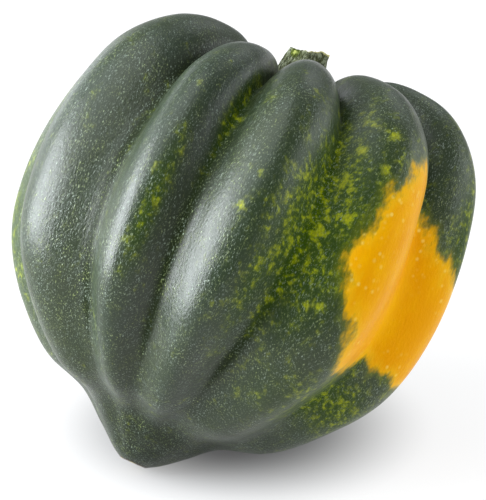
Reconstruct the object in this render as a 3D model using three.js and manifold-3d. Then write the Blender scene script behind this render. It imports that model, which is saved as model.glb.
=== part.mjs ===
// A whole acorn squash lying on its belly: one ribbed, dark green fruit with a pointed blossom end,
// and the corky stub of stem that stands in the hollow at its other end.
// Millimetres, +Z up. The fruit's own axis leans over toward +X, blossom end low, stem end high.

import * as THREE from "three";
import { mergeVertices } from "three/addons/utils/BufferGeometryUtils.js";
import Module from "manifold-3d";

// ---- Driving dimensions -------------------------------------------------------------------------

const AXIS_LEAN = 35.5; // degrees between the fruit's axis and upright
const HEART = 70.7; // how far up the axis, from the blossom scar, the ribs swell out from
const FLAT_DEPTH = 2; // how much the resting spot takes off the lowest rib
const GAP = 0.3; // clearance between the stem's foot and its seat

// Crest of a rib, from the blossom scar to the floor of the stem hollow: [from the axis, along the axis].
const CREST = [
  [0, 0.9], [2.6, 0.5], [3.6, 0], [5.2, 0.7], [7.8, 2.3], [14.3, 7.6], [22.4, 14.2], [35.9, 19.1],
  [48.9, 29.7], [62, 48.1], [66.6, 70.7], [64.6, 94.4], [57.1, 115.7], [44.1, 128], [31.4, 131.3],
  [21.4, 129.8], [12.5, 121], [0, 116],
];

// Depth of a groove as a share of the crest's reach, by the angle round from the blossom end.
const GROOVE_DEPTH = [
  [0, 0], [4, 0], [13, 0.004], [24, 0.014], [38, 0.05], [60, 0.1], [90, 0.122], [115, 0.146],
  [135, 0.143], [150, 0.176], [162, 0.18], [172, 0.06], [180, 0],
];

// Section across a rib, by the same angle: 1 is a parabola from groove to groove, 0.5 a half ellipse.
const RIB_SECTION = [[0, 1], [110, 1], [150, 0.56], [180, 0.56]];

// How round the bed of a groove is, by the same angle: a share of half a rib's width.
const VALLEY = [[0, 0.7], [40, 0.55], [75, 0.4], [110, 0.28], [140, 0.1], [180, 0.05]];

const SHOULDER = { at: 148, spread: 36 }; // where a rib's shoulder bulges, in degrees from the blossom end

// The ten ribs in turn, the first one the rib it lies on: how wide each is round the axis, how far its
// first groove leans over toward the stem end, how full its waist is and how proud its shoulder stands.
const RIBS = [
  { width: 42.5, lean: 0, waist: 1, shoulder: 0 },
  { width: 41.5, lean: 0, waist: 1, shoulder: 0 },
  { width: 42, lean: 0, waist: 1, shoulder: 0 },
  { width: 35, lean: 2.5, waist: 0.974, shoulder: -0.006 },
  { width: 41, lean: 5.7, waist: 1.02, shoulder: -0.013 },
  { width: 27, lean: 4, waist: 0.993, shoulder: -0.057 },
  { width: 31.5, lean: 1, waist: 1.008, shoulder: -0.03 },
  { width: 40.5, lean: -4.2, waist: 1.03, shoulder: 0.024 },
  { width: 33.5, lean: -2.9, waist: 1.036, shoulder: 0.079 },
  { width: 25.5, lean: 2.2, waist: 0.992, shoulder: 0 },
];

// The blossom end has grown a little off the axis: [height along the axis, how far].
const NOSE = [[0, 1.7], [6, 2], [14, 1.4], [32, 0], [40, 0], [140, 0]];
const NOSE_TOWARD = -50; // degrees round the axis

// The stem stub: [height above the floor of the hollow, radius, how far it has bent aside by there].
// Its foot sits a little into the fruit.
const STEM = [
  [-2, 8.6, 0], [0.5, 9.4, 0], [3, 8.5, 0], [7, 7.6, 0.1], [12, 6.9, 0.3], [16, 6, 0.2], [18.8, 5.5, 0.1],
];
const STEM_BEND = -50; // which way it bends
const STEM_RIDGES = { count: 5, height: 0.1 };
const STEM_CUT = { slope: 0.26, toward: -50, ragged: 0.35 }; // the snapped top, not cut square
const STEM_PITH = 1.2; // dish in the middle of the snapped top

// ---- Fineness of the meshes ---------------------------------------------------------------------

const COLUMNS_PER_RIB = 10;
const ROWS_PER_SPAN = 2;
const STEM_COLUMNS = 40;

// ---- Shape of the fruit -------------------------------------------------------------------------

const rad = THREE.MathUtils.degToRad;

// The slope of a smooth curve at one of its [x, y] points, level at both ends.
function slopeAt(points, i) {
  if (i === 0 || i === points.length - 1) return 0;
  return (points[i + 1][1] - points[i - 1][1]) / (points[i + 1][0] - points[i - 1][0]);
}

// The height at x of a smooth curve through [x, y] points.
function along(points, x) {
  const next = Math.max(1, points.findIndex(([px]) => px >= x));
  const [x0, y0] = points[next - 1];
  const [x1, y1] = points[next];
  const span = x1 - x0;
  const t = (x - x0) / span;
  const rise = y0 + (y1 - y0) * t * t * (3 - 2 * t);
  const leave = slopeAt(points, next - 1) * t * (1 - t) ** 2;
  const arrive = slopeAt(points, next) * t * t * (t - 1);
  return rise + span * (leave + arrive);
}

// A value that belongs to each rib, blended toward its neighbours near the grooves.
function blended(key, rib, across) {
  const own = RIBS[rib][key];
  const other = RIBS[(rib + (across < 0 ? RIBS.length - 1 : 1)) % RIBS.length][key];
  return own + ((other - own) / 2) * across ** 2;
}

// Eases a place across a rib, from -1 to 1, so that its grooves have beds as round as asked.
function rounded(across, bed) {
  const fromGroove = Math.hypot(1 - Math.abs(across), bed) - bed;
  return 1 - fromGroove / (Math.hypot(1, bed) - bed);
}

// Where each groove stands round the axis, with the lowest rib's crest at 0 degrees.
function grooveAngles() {
  const angles = [-RIBS[0].width / 2];
  for (const rib of RIBS) angles.push(angles.at(-1) + rib.width);
  return angles;
}

const GROOVES = grooveAngles();

// One point of the skin: on a rib, from -1 to 1 across it, at a point of the crest outline.
function skinPoint(rib, across, outline) {
  const reach = Math.hypot(outline.x, outline.y - HEART);
  const around = Math.atan2(outline.x, HEART - outline.y);
  const degrees = THREE.MathUtils.radToDeg(around);
  const turn = Math.cos(around);
  const first = GROOVES[rib] + RIBS[rib].lean * turn;
  const last = GROOVES[rib + 1] + RIBS[(rib + 1) % RIBS.length].lean * turn;
  const azimuth = rad((first + last) / 2 + (across * (last - first)) / 2);
  const drop = 1 - (1 - rounded(across, along(VALLEY, degrees)) ** 2) ** along(RIB_SECTION, degrees);
  const groove = 1 - along(GROOVE_DEPTH, degrees) * drop;
  const waist = Math.sin(around) ** 2 * (blended("waist", rib, across) - 1);
  const bump = Math.exp(-(((degrees - SHOULDER.at) / SHOULDER.spread) ** 2));
  const swell = 1 + waist + bump * blended("shoulder", rib, across);
  const radius = reach * groove * swell;
  const up = HEART - radius * Math.cos(around);
  const nose = along(NOSE, up);
  return new THREE.Vector3(
    radius * Math.sin(around) * Math.cos(azimuth) + nose * Math.cos(rad(NOSE_TOWARD)),
    radius * Math.sin(around) * Math.sin(azimuth) + nose * Math.sin(rad(NOSE_TOWARD)),
    up,
  );
}

// ---- Meshes -------------------------------------------------------------------------------------

// Skins a stack of closed rings of equal size, with one point closing each end.
function skinned(rings, bottom, top) {
  const columns = rings[0].length;
  const points = [bottom, ...rings.flat(), top];
  const last = points.length - 1;
  const at = (row, column) => 1 + row * columns + (column % columns);
  const index = [];
  for (let column = 0; column < columns; column += 1) {
    index.push(0, at(0, column + 1), at(0, column));
    index.push(last, at(rings.length - 1, column), at(rings.length - 1, column + 1));
    for (let row = 0; row + 1 < rings.length; row += 1) {
      index.push(at(row, column), at(row, column + 1), at(row + 1, column + 1));
      index.push(at(row, column), at(row + 1, column + 1), at(row + 1, column));
    }
  }
  const geometry = new THREE.BufferGeometry().setFromPoints(points);
  geometry.setIndex(index);
  return geometry;
}

// The fruit about its own upright axis, blossom scar at the origin.
function fruitSkin() {
  const crest = new THREE.CatmullRomCurve3(
    CREST.map(([out, up]) => new THREE.Vector3(out, up, 0)), false, "centripetal",
  );
  const outline = crest.getPoints(ROWS_PER_SPAN * (CREST.length - 1));
  const rings = outline.slice(1, -1).map((point) =>
    RIBS.flatMap((_, rib) =>
      Array.from({ length: COLUMNS_PER_RIB }, (_unused, column) =>
        skinPoint(rib, -Math.cos((Math.PI * column) / COLUMNS_PER_RIB), point))));
  const ends = [outline[0], outline.at(-1)].map((point) => new THREE.Vector3(0, 0, point.y));
  return skinned(rings, ...ends);
}

// The stem stub about the same axis; grown by a margin it is the seat the fruit holds it in.
function stemSkin(margin) {
  const floor = CREST.at(-1)[1];
  const [top, , lastBend] = STEM.at(-1);
  const bent = new THREE.Vector3(Math.cos(rad(STEM_BEND)), Math.sin(rad(STEM_BEND)), 0);
  const rings = STEM.map(([height, radius, aside]) =>
    Array.from({ length: STEM_COLUMNS }, (_, column) => {
      const turn = (2 * Math.PI * column) / STEM_COLUMNS;
      const ridge = 1 + STEM_RIDGES.height * Math.cos(STEM_RIDGES.count * turn);
      const slope = STEM_CUT.slope * radius * Math.cos(turn - rad(STEM_CUT.toward));
      const ragged = STEM_CUT.ragged * Math.sin(7 * turn) * Math.sin(4 * turn);
      const cut = height === top ? slope + ragged : 0;
      const out = radius * ridge + margin;
      const point = new THREE.Vector3(out * Math.cos(turn), out * Math.sin(turn), floor + height + cut);
      return point.addScaledVector(bent, aside);
    }));
  rings[0].forEach((point) => point.setZ(point.z - margin));
  const foot = new THREE.Vector3(0, 0, floor + STEM[0][0] - margin);
  const pith = new THREE.Vector3(0, 0, floor + top - STEM_PITH).addScaledVector(bent, lastBend);
  return skinned(rings, foot, pith);
}

// ---- Joining and cutting ------------------------------------------------------------------------

const wasm = await Module();
wasm.setup();

function toManifold(geometry) {
  const bare = geometry.clone();
  bare.deleteAttribute("normal");
  bare.deleteAttribute("uv");
  const merged = mergeVertices(bare);
  return new wasm.Manifold(new wasm.Mesh({
    numProp: 3,
    vertProperties: new Float32Array(merged.attributes.position.array),
    triVerts: new Uint32Array(merged.index.array),
  }));
}

function toGeometry(manifold) {
  const mesh = manifold.getMesh();
  const geometry = new THREE.BufferGeometry();
  geometry.setAttribute("position", new THREE.BufferAttribute(new Float32Array(mesh.vertProperties), 3));
  geometry.setIndex(Array.from(mesh.triVerts));
  return geometry;
}

function cut(geometry, tool) {
  return toGeometry(toManifold(geometry).subtract(toManifold(tool)));
}

// Everything below the resting spot, as one block.
function groundBlock(floorHeight) {
  const size = 4 * HEART;
  return new THREE.BoxGeometry(size, size, size).translate(0, 0, floorHeight - size / 2);
}

// ---- The object ---------------------------------------------------------------------------------

function shaded(geometry, name, look) {
  const faceted = geometry.toNonIndexed();
  faceted.computeVertexNormals();
  const mesh = new THREE.Mesh(faceted, new THREE.MeshStandardMaterial({ name, metalness: 0, ...look }));
  mesh.name = name;
  return mesh;
}

const lean = rad(AXIS_LEAN);
const upright = cut(fruitSkin(), stemSkin(GAP)).rotateY(lean);
upright.computeBoundingBox();
const floor = upright.boundingBox.min.z + FLAT_DEPTH;
const fruit = cut(upright, groundBlock(floor));
const stem = stemSkin(0).rotateY(lean);

// The origin is on the ground, under the middle of the fruit.
fruit.computeBoundingBox();
const middle = fruit.boundingBox.getCenter(new THREE.Vector3());
for (const geometry of [fruit, stem]) geometry.translate(-middle.x, -middle.y, -floor);

const squash = new THREE.Group();
squash.name = "acorn_squash";
squash.add(shaded(fruit, "fruit", { color: "#2f3b2b", roughness: 0.42 }));
squash.add(shaded(stem, "stem", { color: "#6d7350", roughness: 0.85 }));

export default squash;
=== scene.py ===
# %% [markdown]
# # An acorn squash
#
# A whole acorn squash lies on its belly on a pale floor. It has two pieces: the fruit, which grew as one
# ribbed, waxy, dark green body with an orange ground spot, and the corky stub of its stem. The packed
# frame says where both are, and everything here is made to that frame, in metres, with +Z up.

# %% Load the frame
import math

import bpy
import numpy as np
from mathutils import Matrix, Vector, noise


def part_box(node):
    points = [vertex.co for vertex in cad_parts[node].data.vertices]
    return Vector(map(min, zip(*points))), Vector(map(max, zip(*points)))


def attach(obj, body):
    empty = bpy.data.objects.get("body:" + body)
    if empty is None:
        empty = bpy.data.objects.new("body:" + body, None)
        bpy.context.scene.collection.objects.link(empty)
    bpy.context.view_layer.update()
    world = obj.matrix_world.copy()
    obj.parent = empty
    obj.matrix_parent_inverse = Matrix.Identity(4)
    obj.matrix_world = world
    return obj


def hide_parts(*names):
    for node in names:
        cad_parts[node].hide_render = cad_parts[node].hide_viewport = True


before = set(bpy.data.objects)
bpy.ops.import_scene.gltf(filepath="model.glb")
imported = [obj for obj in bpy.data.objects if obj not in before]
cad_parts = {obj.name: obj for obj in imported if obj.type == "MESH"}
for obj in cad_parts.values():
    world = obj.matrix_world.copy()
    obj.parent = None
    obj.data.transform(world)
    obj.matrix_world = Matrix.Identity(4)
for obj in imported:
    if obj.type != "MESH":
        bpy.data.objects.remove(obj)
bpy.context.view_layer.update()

MM = 0.001
fruit_low, fruit_high = (np.array(corner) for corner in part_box("fruit"))
print("the fruit is", np.round((fruit_high - fruit_low) / MM, 1), "mm")

# %% [markdown]
# Colours come from a paint chart in sRGB, the numbers a screen shows. Shaders work on light itself, which
# is linear, so one function turns a chart colour into a linear one. It follows the curve of the sRGB
# standard.


# %% Colours
def paint(code):
    """A linear colour from an sRGB hex code."""
    channels = [int(code[i : i + 2], 16) / 255 for i in (1, 3, 5)]
    linear = [c / 12.92 if c <= 0.04045 else ((c + 0.055) / 1.055) ** 2.4 for c in channels]
    return (*linear, 1.0)


print("middle grey is", round(paint("#808080")[0], 3), "of full light")

# %% [markdown]
# A material is a tree of nodes. One function adds a node with its settings and links, and gives back one
# of its outputs, so a material reads as a list of short steps. An input is a value or the output of an
# earlier step. Inputs are given in order, or by name or number where some are left alone. A range is
# written as the two values it runs between, and then what they turn into, if that isn't 0 and 1.

# %% Nodes
ATTRIBUTE = "ShaderNodeAttribute"
BUMP = "ShaderNodeBump"
MATH = "ShaderNodeMath"
MIX = "ShaderNodeMix"
NOISE = "ShaderNodeTexNoise"
RANGE = "ShaderNodeMapRange"
SHADER = "ShaderNodeBsdfPrincipled"
SURFACE = "ShaderNodeOutputMaterial"
VECTOR_MATH = "ShaderNodeVectorMath"
SMOOTH = {"interpolation_type": "SMOOTHSTEP"}  # a range that starts and ends gently
WIDE = (0.35, 0.65)  # noise seldom leaves this range
MIDDLE = (0.4, 0.6)  # a tighter one, for clearer edges
COLOUR = {"data_type": "RGBA", "output": 2}  # a mix whose amount is input 0 and whose colours are 6 and 7


def add(tree, kind, inputs=(), output=0, **settings):
    """Adds a node with its settings and links, and gives one of its outputs."""
    node = tree.nodes.new(kind)
    for name, value in settings.items():
        setattr(node, name, value)
    for place, value in inputs.items() if isinstance(inputs, dict) else enumerate(inputs):
        if isinstance(value, bpy.types.NodeSocket):
            tree.links.new(value, node.inputs[place])
        else:
            node.inputs[place].default_value = value
    return node.outputs[output] if node.outputs else None


def new_material(name):
    """An empty material and its node tree."""
    made = bpy.data.materials.new(name)
    made.use_nodes = True
    made.node_tree.nodes.clear()
    return made, made.node_tree


# %% [markdown]
# ## The camera
#
# The camera comes before the lights and the looks, so that every later step is judged from the right
# place. It looks down a little on the squash with a long lens from about a metre away, which keeps the
# ribs from ballooning toward the viewer.

# %% The camera
VIEW_AZIMUTH = math.radians(-45.5)
VIEW_ELEVATION = math.radians(24)
VIEW_DISTANCE = 1.035
AIM_OFFSET = Vector((-3.2, -6.1, -3.8)) * MM  # from the middle of the fruit's box
LENS = 248.4  # focal length in mm
FARTHEST = 20  # metres, well past the floor's far edge


def direction(azimuth, elevation):
    """The way from the fruit toward something seen at that azimuth and elevation."""
    level = math.cos(elevation)
    return Vector((math.sin(azimuth) * level, -math.cos(azimuth) * level, math.sin(elevation)))


middle = Vector((fruit_low + fruit_high) / 2)
view = direction(VIEW_AZIMUTH, VIEW_ELEVATION)
bpy.ops.object.camera_add(location=middle + AIM_OFFSET + view * VIEW_DISTANCE)
camera = bpy.context.object
camera.rotation_euler = view.to_track_quat("Z", "Y").to_euler()
camera.data.lens = LENS
camera.data.clip_end = FARTHEST
bpy.context.scene.camera = camera
print("camera at", np.round(camera.location, 3))

# %% [markdown]
# ## The skin of the fruit
#
# A squash is a ball that swelled between its ribs. It could be sculpted by hand, or cut from a revolved
# outline, but its ribs all differ, and they come together at both ends. So a plain UV sphere is taken,
# whose rings and columns already run the way the ribs do, and each of its points is slid to its place by
# a rule: a crest outline, a groove depth, and ten ribs of their own widths. All sizes are the ones the
# frame was built to.
#
# The first two tables are the crest of a rib, from the blossom scar to the floor of the stem hollow, and
# the depth of a groove beside it. The grooves are deep round the stem and fade out toward the blossom
# end, which also sits a little to one side of the axis.

# %% Outline of the fruit, in millimetres and degrees
HEART = 70.7  # the point up the axis that the ribs swell out from
CREST = [
    (0, 0.9), (2.6, 0.5), (3.6, 0), (5.2, 0.7), (7.8, 2.3), (14.3, 7.6), (22.4, 14.2), (35.9, 19.1),
    (48.9, 29.7), (62, 48.1), (66.6, 70.7), (64.6, 94.4), (57.1, 115.7), (44.1, 128), (31.4, 131.3),
    (21.4, 129.8), (12.5, 121), (0, 116),
]  # distance from the axis, height along the axis
GROOVE_DEPTH = [
    (0, 0), (4, 0), (13, 0.004), (24, 0.014), (38, 0.05), (60, 0.1), (90, 0.122), (115, 0.146),
    (135, 0.143), (150, 0.176), (162, 0.18), (172, 0.06), (180, 0),
]  # angle from the blossom end, share of the reach from the heart

# %% [markdown]
# A rib is a parabola across, and rounder near the stem. The bed of a groove is round near the blossom end
# and sharp near the stem. Each rib has its own width, may lean a little, and has a full or a slack waist
# and shoulder.

# %% Ribs and grooves
RIB_SECTION = [(0, 1), (110, 1), (150, 0.56), (180, 0.56)]  # 1 is a parabola, 0.5 an ellipse
VALLEY = [(0, 0.7), (40, 0.55), (75, 0.4), (110, 0.28), (140, 0.1), (180, 0.05)]  # roundness of a bed
SHOULDER, SHOULDER_SPREAD = 148, 36  # angle from the blossom end
NOSE = [(0, 1.7), (6, 2), (14, 1.4), (32, 0), (40, 0), (140, 0)]  # height, distance off the axis
NOSE_TOWARD = math.radians(-50)

RIB_WIDTH = np.array([42.5, 41.5, 42, 35, 41, 27, 31.5, 40.5, 33.5, 25.5])
RIB_LEAN = np.array([0, 0, 0, 2.5, 5.7, 4, 1, -4.2, -2.9, 2.2])
RIB_WAIST = np.array([1, 1, 1, 0.974, 1.02, 0.993, 1.008, 1.03, 1.036, 0.992])
RIB_SHOULDER = np.array([0, 0, 0, -0.006, -0.013, -0.057, -0.03, 0.024, 0.079, 0])
RIBS = len(RIB_WIDTH)
GROOVES = np.concatenate([[0], np.cumsum(RIB_WIDTH)]) - RIB_WIDTH[0] / 2
print(RIBS, "ribs, from", RIB_WIDTH.min(), "to", RIB_WIDTH.max(), "degrees wide")

# %% [markdown]
# Two kinds of smooth curve are needed: one that reads a table of values at any angle or height, and one
# that passes through the crest's points. Both are cubics whose slopes come from the neighbouring points.


# %% Smooth curves
def eased(points, x):
    """The height at x of a smooth curve through (x, y) points, level at both ends."""
    px, py = np.array(points, float).T
    slopes = np.zeros(len(px))
    slopes[1:-1] = (py[2:] - py[:-2]) / (px[2:] - px[:-2])
    i = np.clip(np.searchsorted(px, x) - 1, 0, len(px) - 2)
    span = px[i + 1] - px[i]
    t = np.clip((x - px[i]) / span, 0, 1)
    rise = py[i] + (py[i + 1] - py[i]) * t * t * (3 - 2 * t)
    return rise + span * (slopes[i] * t * (1 - t) ** 2 + slopes[i + 1] * t * t * (t - 1))


def part_way(p, q, start, end, t):
    """The point at t on the way from p at start to q at end."""
    return (end - t) / (end - start) * p + (t - start) / (end - start) * q


def crest_path(per_span=40):
    """Many points of a centripetal Catmull-Rom curve through CREST."""
    ends = np.array(CREST, float)
    points = np.vstack([2 * ends[0] - ends[1], ends, 2 * ends[-1] - ends[-2]])
    path = []
    for a, b, c, d in zip(points, points[1:], points[2:], points[3:]):
        gaps = [np.linalg.norm(q - p) ** 0.5 for p, q in ((a, b), (b, c), (c, d))]
        k0, k1, k2, k3 = np.cumsum([0, *gaps])
        t = np.linspace(k1, k2, per_span, endpoint=False)[:, None]
        ab = part_way(a, b, k0, k1, t)
        bc = part_way(b, c, k1, k2, t)
        cd = part_way(c, d, k2, k3, t)
        path.append(part_way(part_way(ab, bc, k0, k2, t), part_way(bc, cd, k1, k3, t), k1, k2, t))
    return np.vstack([*path, ends[-1:]])


path = crest_path()
steps = np.linalg.norm(np.diff(path, axis=0), axis=1)
travelled = np.concatenate([[0], np.cumsum(steps)])
print("from scar to stem hollow over a crest:", round(travelled[-1]), "mm")

# %% [markdown]
# The rows of the sphere are shared out along the crest so that they crowd together at the small blossom
# end and in the stem hollow. The columns crowd toward the grooves, where the skin turns most sharply.

# %% Share out the rows
COLUMNS, ROWS = 400, 240
CLOSEST, CLOSE_WITHIN = 0.3, 30  # share of the usual spacing at the axis, mm from the axis

crowding = CLOSEST + (1 - CLOSEST) * np.minimum(1, path[:, 0] / CLOSE_WITHIN)
effort = np.concatenate([[0], np.cumsum(steps / crowding[1:])])
row_travel = np.interp(np.linspace(0, effort[-1], ROWS + 1), effort, travelled)
row_out = np.interp(row_travel, travelled, path[:, 0])
row_up = np.interp(row_travel, travelled, path[:, 1])
row_gaps = np.diff(row_travel)
print("rows are", round(row_gaps.min(), 2), "to", round(row_gaps.max(), 2), "mm apart")


# %% Start from a sphere
def new_sphere(name, columns, rows):
    """A UV sphere of radius 1, and its points."""
    bpy.ops.object.select_all(action="DESELECT")
    bpy.ops.mesh.primitive_uv_sphere_add(segments=columns, ring_count=rows, radius=1)
    piece = bpy.context.object
    piece.name = name
    points = np.empty(len(piece.data.vertices) * 3)
    piece.data.vertices.foreach_get("co", points)
    return piece, points.reshape(-1, 3)


def move_points(piece, points):
    """Puts the points of the selected piece where they belong, in metres."""
    piece.data.vertices.foreach_set("co", points.astype(np.float32).ravel())
    piece.data.update()
    bpy.ops.object.shade_smooth()


rind, ball = new_sphere("rind", COLUMNS, ROWS)
row = np.rint(np.arccos(np.clip(-ball[:, 2], -1, 1)) / np.pi * ROWS).astype(int)
column = np.rint(np.arctan2(ball[:, 1], ball[:, 0]) / (2 * np.pi) * COLUMNS).astype(int) % COLUMNS
per_rib = COLUMNS // RIBS
rib = column // per_rib
across = -np.cos(np.pi * (column % per_rib) / per_rib)
print(len(ball), "points,", COLUMNS * (ROWS - 1) * 2, "triangles")

# %% [markdown]
# Each point now has a rib, a place across it from -1 to 1, and a place along the crest. The rule turns
# those into a reach from the heart of the fruit: less in the grooves, and a little more where a rib has a
# full waist or a proud shoulder.


# %% Reach of every point
def between_ribs(values):
    """A value of each rib, blended toward its neighbour's near a groove."""
    neighbour = (rib + np.where(across < 0, -1, 1)) % RIBS
    return values[rib] + (values[neighbour] - values[rib]) / 2 * across**2


out = row_out[row]
up = row_up[row]
around = np.arctan2(out, HEART - up)
degrees_round = np.degrees(around)
bed = eased(VALLEY, degrees_round)
from_groove = (np.hypot(1 - np.abs(across), bed) - bed) / (np.hypot(1, bed) - bed)
drop = 1 - (1 - (1 - from_groove) ** 2) ** eased(RIB_SECTION, degrees_round)
groove = 1 - eased(GROOVE_DEPTH, degrees_round) * drop
waist = np.sin(around) ** 2 * (between_ribs(RIB_WAIST) - 1)
shoulder = np.exp(-(((degrees_round - SHOULDER) / SHOULDER_SPREAD) ** 2)) * between_ribs(RIB_SHOULDER)
reach = np.hypot(out, up - HEART) * groove * (1 + waist + shoulder)
print("reach from", round(reach.min(), 1), "to", round(reach.max(), 1), "mm")

# %% Place of every point
first = GROOVES[rib] + RIB_LEAN[rib] * np.cos(around)
last = GROOVES[rib + 1] + RIB_LEAN[(rib + 1) % RIBS] * np.cos(around)
azimuth = np.radians((first + last) / 2 + across * (last - first) / 2)
spread = reach * np.sin(around)
upright_z = HEART - reach * np.cos(around)
nose = eased(NOSE, upright_z)
upright_x = spread * np.cos(azimuth) + nose * np.cos(NOSE_TOWARD)
upright_y = spread * np.sin(azimuth) + nose * np.sin(NOSE_TOWARD)
upright = np.stack([upright_x, upright_y, upright_z], axis=1)
print("upright it would be", np.round(np.ptp(upright, axis=0), 1), "mm")

# %% [markdown]
# A grown skin is never quite even. Two sizes of soft noise lift and dent it by a fraction of a
# millimetre, which is what makes the long highlights wander a little. The noise is stretched along the
# ribs, because the fruit grew that way.

# %% Unevenness of a grown skin
SWELLS = [(14, 0.28), (5, 0.07)]  # width and height of the swellings, in mm
STRETCH = 0.45  # how slowly the noise changes along a rib


def lumps_at(points, lumps, apart=0):
    """Soft noise of several (width, height) in mm, each read that far from the last."""
    lift = np.zeros(len(points))
    for index, (width, height) in enumerate(lumps):
        places = (points + index * apart) / width
        lift += height * np.array([noise.noise(Vector(place)) for place in places])
    return lift


grain = np.stack([upright_x, upright_y, row_travel[row] * STRETCH], axis=1)
outward = upright - [0, 0, HEART]
outward /= np.linalg.norm(outward, axis=1)[:, None]
lift = lumps_at(grain, SWELLS)
upright += outward * lift[:, None]
print("skin lifted by", round(lift.min(), 2), "to", round(lift.max(), 2), "mm")

# %% [markdown]
# The squash is now leaned over onto its lowest rib, set over the frame's fruit, and pressed flat where it
# rests. The flat spot is the frame's own, so the floor is at zero.

# %% Lean it over and set it down
AXIS_LEAN = math.radians(35.5)
FLAT_DEPTH = 2  # mm that the resting spot takes off the lowest rib

lean_cos, lean_sin = math.cos(AXIS_LEAN), math.sin(AXIS_LEAN)
lean_over = np.array([[lean_cos, 0, lean_sin], [0, 1, 0], [-lean_sin, 0, lean_cos]])
lying = upright @ lean_over.T * MM
low, high = lying.min(axis=0), lying.max(axis=0)
settle = (fruit_low + fruit_high - low - high) / 2
settle[2] = fruit_low[2] - low[2] - FLAT_DEPTH * MM
lying += settle
lying[:, 2] = np.maximum(lying[:, 2], fruit_low[2])
move_points(rind, lying)
print("set down by", np.round(settle / MM, 2), "mm")

# %% [markdown]
# ## Where the colours lie
#
# The paint of the skin needs to know where it is on the fruit. Five measures are written onto the points:
# how far inside the orange ground spot a point lies, how far the nearest groove is, how far it is from
# the axis at the blossom end, how thickly yellow-green mottling grows there, and how near it is to one of
# the few larger yellow islands. The shader then breaks up their edges with noise, much finer than the
# points are. The first measure comes from the outline of the spot, laid out flat in degrees.

# %% Ground spot on the points
SPOT = [
    (262, 123), (268, 126), (277, 122), (284, 115), (289, 108), (296, 103), (306, 98), (312, 88),
    (306, 79), (296, 74), (286, 75), (280, 77), (273, 70), (266, 71), (260, 80), (254, 89), (251, 98),
    (253, 106), (255, 113), (259, 119),
]  # degrees round the axis, degrees from the blossom end
SPOT_SCALE = 1.13  # mm of skin in one degree there


def inside_by(outline, x, y):
    """How far (x, y) lies inside a closed outline, negative outside."""
    distance = np.full(x.shape, np.inf)
    inside = np.zeros(x.shape, bool)
    for (x0, y0), (x1, y1) in zip(outline, outline[1:] + outline[:1]):
        edge = np.array([x1 - x0, y1 - y0], float)
        along = np.clip(((x - x0) * edge[0] + (y - y0) * edge[1]) / (edge @ edge), 0, 1)
        distance = np.minimum(distance, np.hypot(x - x0 - along * edge[0], y - y0 - along * edge[1]))
        if y1 != y0:
            inside ^= ((y0 > y) != (y1 > y)) & (x < x0 + (y - y0) / (y1 - y0) * (x1 - x0))
    return np.where(inside, distance, -distance)


turned = np.degrees(azimuth) % 360
spot = inside_by(SPOT, turned, degrees_round) * SPOT_SCALE
print("the ground spot reaches", round(spot.max()), "mm inside its edge")

# %% [markdown]
# The distance to a groove grows falsely toward the blossom end, so that the painted shade of the creases
# fades out there with the grooves themselves. Away from the blossom end the distance from its scar doesn't
# matter, and is made large.

# %% Creases and blossom scar on the points
CREASE_FADES_BELOW = 55  # degrees from the blossom end
CREASE_FADE = 0.2  # mm of false distance in each degree below that
BLOSSOM_HALF = 90  # degrees from the blossom end

crease = (1 - np.abs(across)) * np.radians(RIB_WIDTH[rib]) / 2 * spread
crease += CREASE_FADE * np.maximum(0, CREASE_FADES_BELOW - degrees_round)
scar = np.where(degrees_round < BLOSSOM_HALF, spread, HEART)
print("the middle of a rib is up to", round(crease.max()), "mm from a groove")

# %% [markdown]
# The mottling is thickest on a few of the ribs, and it thins out slowly round the ground spot. Each entry
# of the table is one soft oval of it. The oval on rib 3 is partly mottling and partly painted light, a
# pale lit band along that edge.

# %% Mottling on the points
MOTTLING_AND_LIT_BAND = [
    (7.0, 104, 0.42, 32, 1.0), (8.55, 112, 0.35, 26, 1.0), (8.0, 60, 0.7, 14, 0.8),
    (6.75, 84, 0.18, 20, 0.7), (5.66, 90, 0.1, 20, 0.6), (5.94, 128, 0.09, 24, 0.75),
    # partly painted light: the oval at rib 3.55 also paints the pale lit band down that edge
    (4.1, 60, 0.2, 30, 0.3), (3.55, 75, 0.3, 35, 0.65), (2.0, 90, 0.8, 40, 0.5),
    (0.4, 100, 0.6, 40, 0.4), (9.6, 95, 0.4, 40, 0.6),
]  # rib and place across it, degrees from the blossom end, spread over both, thickness
ROUND_SPOT, ROUND_SPOT_WIDTH = 0.5, 16  # thickness at the spot's edge, mm in which it thins out

station = rib + (across + 1) / 2
mottle = ROUND_SPOT * np.exp(-np.maximum(0, -spot) / ROUND_SPOT_WIDTH)
for at_rib, at_degrees, ribs_wide, degrees_wide, thickness in MOTTLING_AND_LIT_BAND:
    ribs_away = (station - at_rib + RIBS / 2) % RIBS - RIBS / 2
    away = (ribs_away / ribs_wide) ** 2 + ((degrees_round - at_degrees) / degrees_wide) ** 2
    mottle = np.maximum(mottle, thickness * np.exp(-away))
print("mottled over half thickness:", round(100 * (mottle > 0.5).mean()), "% of the points")

# %% Yellow islands on the points
ISLANDS = [
    (249, 133, 3.2), (254, 130, 3.4), (248, 125, 3), (245, 116, 3.4), (247, 107, 3), (243, 102, 2.6),
    (254, 121, 2.6), (250, 83, 3), (221, 107, 2), (220, 98, 2.4), (230, 105, 1.8), (233, 92, 2.2),
    (199, 91, 2),
]  # degrees round the axis, degrees from the blossom end, mm to its edge

island = np.zeros(len(upright))
for at_round, at_degrees, size in ISLANDS:
    centre = upright[np.argmin(np.abs(turned - at_round) + np.abs(degrees_round - at_degrees))]
    island = np.maximum(island, np.exp(-((np.linalg.norm(upright - centre, axis=1) / size) ** 2)))
print(len(ISLANDS), "islands")


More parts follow.
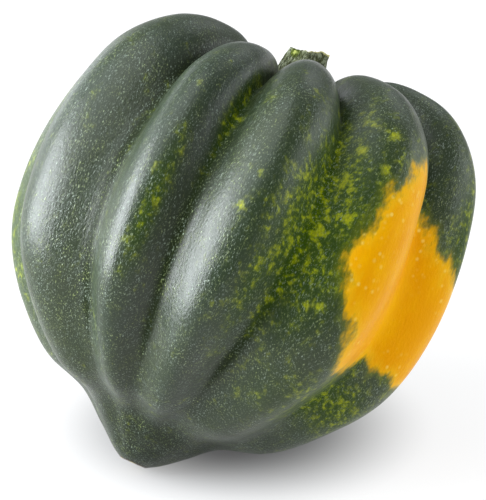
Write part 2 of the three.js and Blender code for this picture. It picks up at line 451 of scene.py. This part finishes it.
# %% Write the measures
def write_measures(piece, measures, grain):
    """Writes each measure, and a place in the grain, onto the piece's points."""
    for name, values in measures.items():
        layer = piece.data.attributes.new(name, "FLOAT", "POINT")
        layer.data.foreach_set("value", values.astype(np.float32))
    layer = piece.data.attributes.new("grain", "FLOAT_VECTOR", "POINT")
    layer.data.foreach_set("vector", grain.astype(np.float32).ravel())


measures = {"spot": spot, "crease": crease, "scar": scar, "mottle": mottle, "island": island}
write_measures(rind, measures, grain)
print("written onto the rind:", ", ".join(measures), "and grain")

# %% [markdown]
# ## The rind
#
# Acorn squash skin is a thin hard rind under natural wax. The wax gives it a soft satin shine and a faint
# bluish bloom at glancing angles. Under it the green is nearly black, sprinkled with pale corky specks
# less than a millimetre wide, mottled yellow-green where the light was poor, and orange where it lay on
# the soil. Every pattern is read in millimetres from the grain measure, so it follows the ribs and is
# drawn out a little along them, as the fruit grew. One function makes soft blotches of a given size, and
# each offset takes them from another place.

# %% Rind material
waxy_rind, tree = new_material("waxy squash rind")
here = add(tree, ATTRIBUTE, output="Vector", attribute_name="grain")
measure = {name: add(tree, ATTRIBUTE, output="Fac", attribute_name=name) for name in measures}


def blotches(size, detail=4.0, offset=0.0, roughness=0.6, stretch=1.0):
    """Noise from 0 to 1, in blotches about size mm wide. A stretch over 1 shortens them along the ribs."""
    place = add(tree, VECTOR_MATH, [here, (1, 1, stretch), (offset,) * 3], operation="MULTIPLY_ADD")
    return add(tree, NOISE, {"Vector": place, "Scale": 1 / size, "Detail": detail, "Roughness": roughness})


print("the rind reads", len(measure), "measures")

# %% [markdown]
# The specks are lenticels, the pores of the skin, each healed with a dot of pale cork. Most are too fine
# to tell apart, so fine noise stands for them. A Voronoi pattern scatters the larger ones: one cell for
# each, a dot where a point is close to the cell's centre, and a random number for each cell that leaves
# some out.

# %% Specks
FINE_SPECK = 0.42  # mm
COARSE_SPECKS = {"spacing": 0.95, "radius": 0.26, "share": 0.5, "offset": 57}
DOT_CORE = 0.2  # share of a dot's radius that is full cork
FAINTEST = 0.2  # how pale the faintest dot is
FINE_SPECKS = (0.53, 0.74, 0, 0.8)
CROWDED, CROWDS = 12, (0.35, 0.6, 0.45, 1)  # mm across a crowd of specks, and how much thinner between


def specks(spacing, radius, share, offset, stretch=1.0):
    """Dots of cork up to radius mm from their middles, in a share of the cells."""
    place = add(tree, VECTOR_MATH, [here, (1, 1, stretch), (offset,) * 3], operation="MULTIPLY_ADD")
    away = add(tree, "ShaderNodeTexVoronoi", {"Vector": place, "Scale": 1 / spacing}, "Distance")
    dot = add(tree, RANGE, [away, radius / spacing, DOT_CORE * radius / spacing], **SMOOTH)
    chance = add(tree, "ShaderNodeSeparateColor", [away.node.outputs["Color"]])
    kept = add(tree, RANGE, [chance, 1 - share, 1, FAINTEST, 1], **SMOOTH)
    return add(tree, MATH, [dot, kept], operation="MULTIPLY")


fine = add(tree, RANGE, [blotches(FINE_SPECK, detail=2, roughness=0.8), *FINE_SPECKS], **SMOOTH)
both = add(tree, MATH, [fine, specks(**COARSE_SPECKS)], operation="MAXIMUM")
crowded = add(tree, RANGE, [blotches(CROWDED, offset=5), *CROWDS], **SMOOTH)
speckle = add(tree, MATH, [both, crowded], operation="MULTIPLY")
print("specks about", FINE_SPECK, "and", 2 * COARSE_SPECKS["radius"], "mm wide")

# %% [markdown]
# The green is built in layers, from the widest to the finest: slow changes of hue, painted shade in the
# creases and a darker blossom end, then the mottling, then the specks.

# %% Dark greens
CREASE_SHADE = (0, 5, 0.7, 0)  # mm from the groove, share of the darkest green, which is painted shade
AT_BLOSSOM = (12, 48, 0.6, 0)  # mm from the axis, share of the darkest green

hue = add(tree, RANGE, [blotches(30), *WIDE], **SMOOTH)
deep_green = add(tree, MIX, {0: hue, 6: paint("#1f2a0d"), 7: paint("#1a2814")}, **COLOUR)
# painted shade: the green darkens toward the bed of each groove
crease_shade = add(tree, RANGE, [measure["crease"], *CREASE_SHADE], **SMOOTH)
crease_shaded = add(tree, MIX, {0: crease_shade, 6: deep_green, 7: paint("#161d08")}, **COLOUR)
at_blossom = add(tree, RANGE, [measure["scar"], *AT_BLOSSOM], **SMOOTH)
dark_rind = add(tree, MIX, {0: at_blossom, 6: crease_shaded, 7: paint("#10170a")}, **COLOUR)
print(len(tree.nodes), "nodes so far")

# %% [markdown]
# Mottling is patchy at three sizes. Clusters some 5 mm across come first, more of them where the mottle
# measure is high, and the larger islands join them. Blobs of less than 2 mm give each cluster its texture
# and go from green to yellow. The finest grains break up the blobs.

# %% Where the mottling is
CLUSTER_WIDTH, ISLAND_EDGE, BLOB_WIDTH, GRAIN_WIDTH = 5, 2.5, 1.7, 0.6  # mm
MORE_CLUSTERS = 0.42  # what the thickest mottling adds to the clusters' noise
YELLOWER = 0.2  # what an island adds to the blobs' noise
IN_CLUSTER, IN_ISLAND, IN_BLOB = (0.56, 0.92), (0.75, 1.6), (0.36, 0.86)
BLOB_STRENGTH = (0, 0.7, 0.1, 1)
FINEST = (*WIDE, 0.5, 1)

thickness = add(tree, MATH, [measure["mottle"], MORE_CLUSTERS], operation="MULTIPLY")
cluster = blotches(CLUSTER_WIDTH, detail=3, offset=31, stretch=1.5)
cluster = add(tree, MATH, [cluster, thickness], operation="ADD")
cluster = add(tree, RANGE, [cluster, *IN_CLUSTER], **SMOOTH)
islands = add(tree, MATH, [measure["island"], blotches(ISLAND_EDGE, offset=37)], operation="ADD")
islands = add(tree, RANGE, [islands, *IN_ISLAND], **SMOOTH)
cluster = add(tree, MATH, [cluster, islands], operation="MAXIMUM")

blobs = blotches(BLOB_WIDTH, detail=3, offset=71, roughness=0.5, stretch=2)
yellower = add(tree, MATH, [islands, YELLOWER], operation="MULTIPLY")
blobs = add(tree, MATH, [blobs, yellower], operation="ADD")
blobs = add(tree, RANGE, [blobs, *IN_BLOB], **SMOOTH)
grains = add(tree, RANGE, [blotches(GRAIN_WIDTH, detail=2, offset=47), *FINEST], **SMOOTH)
broken_up = add(tree, RANGE, [blobs, *BLOB_STRENGTH], **SMOOTH)
broken_up = add(tree, MATH, [grains, broken_up], operation="MULTIPLY")
mottling = add(tree, MATH, [cluster, broken_up], operation="MULTIPLY")
print(len(tree.nodes), "nodes so far")

# %% Colours of the mottling and the specks
MOST_UNDERTONE = 0.9  # share of mid green under the thickest mottling
CORK_HUES = (0.4, 0.66)

undertone = add(tree, MATH, [measure["mottle"], MOST_UNDERTONE], operation="MULTIPLY")
under = add(tree, MIX, {0: undertone, 6: dark_rind, 7: paint("#2c4306")}, **COLOUR)
yellow_green = add(tree, MIX, {0: blobs, 6: paint("#607a04"), 7: paint("#a6aa08")}, **COLOUR)
mottled = add(tree, MIX, {0: mottling, 6: under, 7: yellow_green}, **COLOUR)

cork_hue = add(tree, RANGE, [blotches(3, offset=91), *CORK_HUES], **SMOOTH)
speck_colour = add(tree, MIX, {0: cork_hue, 6: paint("#8b9a8a"), 7: paint("#8b9a5c")}, **COLOUR)
speck_colour = add(tree, MIX, {0: mottling, 6: speck_colour, 7: paint("#9aa83a")}, **COLOUR)
speckled = add(tree, MIX, {0: speckle, 6: mottled, 7: speck_colour}, **COLOUR)
print(len(tree.nodes), "nodes so far")

# %% [markdown]
# The ground spot turns from green to orange within a few millimetres, and its edge is ragged. Noise is
# added to the measured distance before the edge is drawn. The green turns olive just outside, and the
# orange is paler just inside, where a few pale dots of cork also lie.

# %% Edge of the ground spot
RAGGED = 15  # mm between the farthest that the noise moves the edge in and out
TURN = (-1.8, 1.8)  # mm in which green turns to orange
OLIVE_EDGE, MOST_OLIVE = (-4.5, 0), 0.7  # mm outside the edge, share at the edge

ragged = blotches(6, detail=6, offset=12)
ragged = add(tree, MATH, [ragged, RAGGED, -RAGGED / 2], operation="MULTIPLY_ADD")
edge = add(tree, MATH, [measure["spot"], ragged], operation="ADD")
in_spot = add(tree, RANGE, [edge, *TURN], **SMOOTH)
near_edge = add(tree, RANGE, [edge, *OLIVE_EDGE], **SMOOTH)
olive_share = add(tree, MATH, [near_edge, MOST_OLIVE], operation="MULTIPLY")
print(len(tree.nodes), "nodes so far")

# %% Colours of the ground spot
CORK_DOTS = {"spacing": 2.4, "radius": 0.85, "share": 0.75, "offset": 19, "stretch": 2}
DOTS_END = (14, 3)  # mm inside the edge: no dots, all dots
DOT_STRENGTH = 0.9
PALE_RIM = (5, 0, 0, 0.6)  # mm inside the edge, share of pale orange

hue = add(tree, RANGE, [blotches(10, offset=7), *WIDE], **SMOOTH)
orange = add(tree, MIX, {0: hue, 6: paint("#e89d00"), 7: paint("#eeab00")}, **COLOUR)
pale_rim = add(tree, RANGE, [edge, *PALE_RIM], **SMOOTH)
orange = add(tree, MIX, {0: pale_rim, 6: orange, 7: paint("#e8b81c")}, **COLOUR)
fewer = add(tree, RANGE, [edge, *DOTS_END], **SMOOTH)
pale_dots = add(tree, MATH, [specks(**CORK_DOTS), fewer], operation="MULTIPLY")
pale_dots = add(tree, MATH, [pale_dots, DOT_STRENGTH], operation="MULTIPLY")
orange = add(tree, MIX, {0: pale_dots, 6: orange, 7: paint("#f4d05c")}, **COLOUR)
olive = add(tree, MIX, {0: olive_share, 6: speckled, 7: paint("#5d6602")}, **COLOUR)
skin_colour = add(tree, MIX, {0: in_spot, 6: olive, 7: orange}, **COLOUR)
print(len(tree.nodes), "nodes so far")

# %% [markdown]
# The blossom fell off the pointed end and left a small round scar with a dark, dry rim.

# %% Blossom scar
RIM, SCAR = (5.5, 5), (4.9, 4.3)  # mm from the middle: none, all
DRY_PATCHES = (0.45, 0.6)

from_middle = add(tree, MATH, [measure["scar"], blotches(1.6, detail=3, offset=3)], operation="ADD")
in_rim = add(tree, RANGE, [from_middle, *RIM], **SMOOTH)
in_scar = add(tree, RANGE, [from_middle, *SCAR], **SMOOTH)
dry = add(tree, RANGE, [blotches(1.8, offset=3), *DRY_PATCHES], **SMOOTH)
dry = add(tree, MIX, {0: dry, 6: paint("#3a2b1a"), 7: paint("#b5a961")}, **COLOUR)
scarred = add(tree, MIX, {0: in_rim, 6: skin_colour, 7: paint("#2c2416")}, **COLOUR)
scarred = add(tree, MIX, {0: in_scar, 6: scarred, 7: dry}, **COLOUR)
print(len(tree.nodes), "nodes so far")

# %% [markdown]
# Pores and specks stand a few hundredths of a millimetre proud, too little for the mesh, so a bump gives
# them. The wax is spread unevenly: it is thin in the creases, over the mottling and the ground spot, and
# toward the blossom end, so the shine is weaker there. Over the ground spot the reflection takes on some
# of the orange.

# %% Shine and fine relief of the rind
RIND_IOR = 1.5
SATIN = (0.3, 0.7, 0.29, 0.39)  # noise, roughness
PORE_HEIGHT, SPECK_HEIGHT = 0.12, 0.04  # mm
CREASE_WAX = (0.3, 3.5, 0.1, 0.5)  # mm from the groove, strength of the reflection
BARE_WAX = (0.1, 0.9, 1, 0.18)  # thickness of the mottling, share of the reflection left
END_WAX = (18, 54, 0.35, 1)  # mm from the axis, share of the reflection left

rough = add(tree, RANGE, [blotches(4, offset=61), *SATIN], **SMOOTH)
pores = add(tree, MATH, [blotches(0.7, detail=2, offset=44), PORE_HEIGHT], operation="MULTIPLY")
raised = add(tree, MATH, [speckle, SPECK_HEIGHT], operation="MULTIPLY")
relief = add(tree, MATH, [pores, raised], operation="ADD")
bumps = add(tree, BUMP, {"Height": relief, "Distance": MM, "Strength": 1})
glint = add(tree, MIX, {0: in_spot, 6: paint("#ffffff"), 7: paint("#ffb000")}, **COLOUR)

waxed = add(tree, RANGE, [measure["crease"], *CREASE_WAX], **SMOOTH)
bare = add(tree, MATH, [measure["mottle"], in_spot], operation="MAXIMUM")
bare = add(tree, RANGE, [bare, *BARE_WAX], **SMOOTH)
waxed = add(tree, MATH, [waxed, bare], operation="MULTIPLY")
thin_end = add(tree, RANGE, [measure["scar"], *END_WAX], **SMOOTH)
waxed = add(tree, MATH, [waxed, thin_end], operation="MULTIPLY")
print(len(tree.nodes), "nodes so far")

# %% Finish the rind
BLOOM, BLOOM_ROUGHNESS = 0.04, 0.5  # the bluish bloom, which sheen gives

skin = {
    "Base Color": scarred, "Specular IOR Level": waxed, "Specular Tint": glint, "Roughness": rough,
    "IOR": RIND_IOR, "Normal": bumps,
    "Sheen Weight": BLOOM, "Sheen Roughness": BLOOM_ROUGHNESS, "Sheen Tint": paint("#dfe6ea"),
}
add(tree, SURFACE, [add(tree, SHADER, skin)])
rind.data.materials.clear()
rind.data.materials.append(waxy_rind)
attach(rind, "root")
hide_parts("fruit")
print("rind:", len(tree.nodes), "nodes,", len(rind.data.polygons), "faces")

# %% [markdown]
# ## The stem stub
#
# When a squash is picked its stem is snapped off. What is left is a stub with five blunt ridges, corky on
# the outside and torn across the top, where the fibres stand up in tufts. It is shaped the way the fruit
# was: a sphere whose lower rows become the foot, whose middle rows become the side and whose upper rows
# are pushed down into the torn face. The foot is buried in the floor of the hollow.

# %% Sizes of the stem, in millimetres
HOLLOW_FLOOR = CREST[-1][1]
STEM_RADIUS = [
    (-2, 8.6), (0.5, 9.4), (3, 8.5), (7, 7.6), (12, 6.9), (16, 6), (18.8, 5.5), (23, 5.4),
]  # height over the floor of the hollow, radius
STEM_ASIDE = [
    (-2, 0), (3, 0), (7, 0.1), (12, 0.3), (16, 0.2), (18.8, 0.1), (23, 0.1),
]  # height, distance off the axis
STEM_BEND = math.radians(-50)  # the way it goes off the axis
STEM_TOP, RIM_RADIUS = 18.8, 5.5
CUT_SLOPE, CUT_TOWARD = 0.26, math.radians(-50)
PITH_DISH = 1.2  # how far the middle of the torn face lies below its rim
RIDGES, RIDGE_HEIGHT = 5, 0.1  # heights are shares of the radius
FLUTES, FLUTE_HEIGHT = 23, 0.012
print("the stub stands", STEM_TOP, "mm over the floor of the hollow")

# %% [markdown]
# The roughness of the stub comes in pairs of a coarse and a fine lump: tufts along the rim, cracks down
# the bark and splinters on the torn face. The splinters die out at the rim and in the middle.

# %% Rows and roughness of the stem
STEM_COLUMNS = 180
FOOT_ROWS, SIDE_ROWS, FACE_ROWS = 8, 76, 36
STEM_ROWS = FOOT_ROWS + SIDE_ROWS + FACE_ROWS
TUFTS = [(2.2, 0.7), (0.8, 0.45)]  # width and height in mm
BARK = [(1.8, 0.3), (0.7, 0.16)]
SPLINTERS = [(1.1, 0.5), (0.5, 0.3)]
BARK_STRETCH = 0.4  # how slowly the bark's cracks change along the stem
TORN_LEVEL = 7  # the level in the noise where the splinters are read

stem, ball = new_sphere("stem_stub", STEM_COLUMNS, STEM_ROWS)
turn = np.arctan2(ball[:, 1], ball[:, 0])
turn_way = np.stack([np.cos(turn), np.sin(turn)], axis=1)
stem_row = np.arccos(np.clip(-ball[:, 2], -1, 1)) / np.pi * STEM_ROWS
foot = np.clip(stem_row / FOOT_ROWS, 0, 1)
side = np.clip((stem_row - FOOT_ROWS) / SIDE_ROWS, 0, 1)
face = np.clip((stem_row - FOOT_ROWS - SIDE_ROWS) / FACE_ROWS, 0, 1)
print(len(ball), "points in the stem")


# %% Side of the stem
def at_height(radius, height):
    """Points in the stem's own directions, that far from its axis."""
    return np.column_stack([turn_way * np.reshape(radius, (-1, 1)), np.broadcast_to(height, len(turn))])


tufts = lumps_at(at_height(RIM_RADIUS, 0), TUFTS, apart=40)
cut_height = STEM_TOP + CUT_SLOPE * RIM_RADIUS * np.cos(turn - CUT_TOWARD) + tufts
height = STEM_RADIUS[0][0] + side * (cut_height - STEM_RADIUS[0][0])
ridge = 1 + RIDGE_HEIGHT * np.cos(RIDGES * turn) + FLUTE_HEIGHT * np.cos(FLUTES * turn)
stem_radius = eased(STEM_RADIUS, height) * ridge
bark = at_height(stem_radius, height * BARK_STRETCH)
stem_radius += lumps_at(bark, BARK, apart=90)
stem_radius *= foot * (1 - face)
print("side up to", round(stem_radius.max(), 1), "mm from the axis")

# %% Torn face, and place of the stem
splinters = lumps_at(at_height(stem_radius, TORN_LEVEL), SPLINTERS, apart=30)
splinters *= np.sin(np.pi * np.minimum(1, face * 1.2) ** 0.6)
dish = (1 - (1 - face) ** 2) * (STEM_TOP - PITH_DISH - cut_height)
height += np.where(face > 0, dish + splinters, 0)
aside = eased(STEM_ASIDE, height)[:, None] * [math.cos(STEM_BEND), math.sin(STEM_BEND), 0]
standing = at_height(stem_radius, HOLLOW_FLOOR + height) + aside
leaning = standing @ lean_over.T * MM + settle
move_points(stem, leaning)
print("stub box", np.round([leaning.min(axis=0) / MM, leaning.max(axis=0) / MM], 1).tolist())

# %% [markdown]
# The cork of the stub is grey-green and cracked lengthwise. One patch of live yellow-green skin is left
# near the top, with a small painted highlight where it is thickest, and the fibres along the broken rim
# have dried to a straw colour.

# %% Measures of the stem
PATCH_TURN = math.radians(172)
PATCH_BELOW, PATCH_SIZE = 1, 1.7  # mm below the rim, mm to its edge
STRAW_TURN = math.radians(-60)  # the side with the most straw
STRAW_DEPTH = 0.7  # mm in which it thins out
FACE_EDGE = 6  # the torn colour is full a sixth of the way in

patch_way = RIM_RADIUS * np.array([math.cos(PATCH_TURN), math.sin(PATCH_TURN), 0])
sideways = np.linalg.norm((standing - patch_way)[:, :2], axis=1)
below_rim = cut_height - height
patch = np.exp(-((sideways / PATCH_SIZE) ** 2) - ((below_rim - PATCH_BELOW) / PATCH_SIZE) ** 2)
straw = np.exp(-below_rim / STRAW_DEPTH) * (0.5 + 0.5 * np.cos(turn - STRAW_TURN))
measures = {"patch": patch, "straw": straw, "face": np.minimum(1, face * FACE_EDGE)}
bark[:, 2] = height * BARK_STRETCH
write_measures(stem, measures, bark)
print("written onto the stem:", ", ".join(measures), "and grain")

# %% Cork of the stem
CRACKS = (0.4, 0.55)

corky_stem, tree = new_material("dry corky stem")
here = add(tree, ATTRIBUTE, output="Vector", attribute_name="grain")
measure = {name: add(tree, ATTRIBUTE, output="Fac", attribute_name=name) for name in measures}

grey = add(tree, RANGE, [blotches(1.2, detail=5), *MIDDLE], **SMOOTH)
cork = add(tree, MIX, {0: grey, 6: paint("#4a5128"), 7: paint("#939a7c")}, **COLOUR)
cracks = add(tree, RANGE, [blotches(0.45, detail=3, offset=23), *CRACKS], **SMOOTH)
cork = add(tree, MIX, {0: cracks, 6: paint("#2b3010"), 7: cork}, **COLOUR)
print(len(tree.nodes), "nodes so far")

# %% Live patch, torn face and straw
IN_PATCH, PATCH_HIGHLIGHT, STRAW = (0.75, 1.05), (1.3, 1.45), (0.8, 1.2)  # measure and noise together

live = add(tree, RANGE, [blotches(0.7, offset=50), *MIDDLE], **SMOOTH)
live = add(tree, MIX, {0: live, 6: paint("#3d480a"), 7: paint("#66751a")}, **COLOUR)
# painted highlight: a pale spot where the live patch is thickest
painted_patch_highlight = add(tree, MATH, [measure["patch"], blotches(0.8, offset=50)], operation="ADD")
painted_patch_highlight = add(tree, RANGE, [painted_patch_highlight, *PATCH_HIGHLIGHT], **SMOOTH)
live = add(tree, MIX, {0: painted_patch_highlight, 6: live, 7: paint("#b3bd62")}, **COLOUR)
in_patch = add(tree, MATH, [measure["patch"], blotches(1.5, offset=15)], operation="ADD")
in_patch = add(tree, RANGE, [in_patch, *IN_PATCH], **SMOOTH)
cork = add(tree, MIX, {0: in_patch, 6: cork, 7: live}, **COLOUR)

fibres = add(tree, RANGE, [blotches(0.6, detail=4, offset=9), *MIDDLE], **SMOOTH)
torn = add(tree, MIX, {0: fibres, 6: paint("#4a4a22"), 7: paint("#a9a477")}, **COLOUR)
cork = add(tree, MIX, {0: measure["face"], 6: cork, 7: torn}, **COLOUR)
dried = add(tree, MATH, [measure["straw"], blotches(0.8, offset=66)], operation="ADD")
dried = add(tree, RANGE, [dried, *STRAW], **SMOOTH)
cork = add(tree, MIX, {0: dried, 6: cork, 7: paint("#cfc98a")}, **COLOUR)
print(len(tree.nodes), "nodes so far")

# %% Finish the stem
CORK_ROUGHNESS, CORK_IOR, LUMP_STRENGTH = 0.85, 1.45, 0.35

lumps = blotches(0.45, detail=4, offset=7)
lumps = add(tree, BUMP, {"Height": lumps, "Distance": MM, "Strength": LUMP_STRENGTH})
dry_cork = {"Base Color": cork, "Roughness": CORK_ROUGHNESS, "IOR": CORK_IOR, "Normal": lumps}
add(tree, SURFACE, [add(tree, SHADER, dry_cork)])
stem.data.materials.clear()
stem.data.materials.append(corky_stem)
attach(stem, "root")
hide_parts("stem")
print("stem:", len(tree.nodes), "nodes,", len(stem.data.polygons), "faces")

# %% [markdown]
# ## The floor and the light
#
# A white sheet lies under the squash. Softboxes alone would throw a long shadow across it, so the sheet
# emits painted light of its own, though it is no lamp, and less of it right under the squash, which paints
# a soft dark shadow there.

# %% Floor
FLOOR_SIZE = 8  # metres
GLOW_WITH_PAINTED_SHADOW = (17 * MM, 64 * MM, 0.09, 0.86)  # painted emission: least within 17 mm of the middle, where it paints the shadow, full past 64
PAPER_ROUGHNESS = 0.9

bpy.ops.object.select_all(action="DESELECT")
bpy.ops.mesh.primitive_plane_add(size=FLOOR_SIZE, location=(0, 0, 0))
floor = bpy.context.object
floor.name = "floor"
paper, tree = new_material("white sheet with painted glow and shadow")
place = add(tree, "ShaderNodeTexCoord", output="Object")
from_spot = add(tree, VECTOR_MATH, [place], "Value", operation="LENGTH")
# painted shadow: the sheet's emission is weakest right under the squash and full farther out
painted_shadow_glow = add(tree, RANGE, [from_spot, *GLOW_WITH_PAINTED_SHADOW], **SMOOTH)
sheet = {
    "Base Color": paint("#6f6f6f"), "Roughness": PAPER_ROUGHNESS, "Specular IOR Level": 0,
    "Emission Color": paint("#ffffff"), "Emission Strength": painted_shadow_glow,
}
add(tree, SURFACE, [add(tree, SHADER, sheet)])
floor.data.materials.append(paper)
print("a floor", FLOOR_SIZE, "metres wide")

# %% [markdown]
# Five softboxes light the squash. The strongest stands low on the left, and draws the long highlight down
# the left flank of every rib. A wide one overhead gives the upper ribs their broad pale sheen. The one on
# the right opens up the shadows, and two weak ones behind pick out the far edges. A dim pale room fills
# in the rest.


# %% Lights
def softbox(name, azimuth, elevation, distance, size, power):
    """A square or oblong light of (width, height) in metres, facing the fruit."""
    way = direction(math.radians(azimuth), math.radians(elevation))
    bpy.ops.object.light_add(type="AREA", location=middle + way * distance)
    lamp = bpy.context.object
    lamp.name = name
    lamp.rotation_euler = way.to_track_quat("Z", "Y").to_euler()
    lamp.data.shape = "RECTANGLE"
    lamp.data.size, lamp.data.size_y = size
    lamp.data.energy = power
    lamp.data.color = paint("#f4f9ff")[:3]
    print(name, power, "watts")


softbox("left softbox", azimuth=-130, elevation=16, distance=1.1, size=(0.95, 0.9), power=40)
softbox("rear softbox", azimuth=173, elevation=10, distance=1.2, size=(0.8, 0.7), power=4)
softbox("high softbox", azimuth=-120, elevation=66, distance=1.6, size=(1.8, 1.8), power=22)
softbox("right softbox", azimuth=45, elevation=8, distance=1.2, size=(1.2, 0.8), power=8.5)
softbox("back softbox", azimuth=98, elevation=42, distance=1.3, size=(0.7, 0.7), power=2)

# %% Room
ROOM_LIGHT = 0.45

world = bpy.data.worlds.new("pale room")
world.use_nodes = True
room = world.node_tree.nodes["Background"].inputs
room["Color"].default_value = paint("#dfe2e6")
room["Strength"].default_value = ROOM_LIGHT
bpy.context.scene.world = world
bpy.context.scene.view_settings.view_transform = "Standard"
print("room light", ROOM_LIGHT)
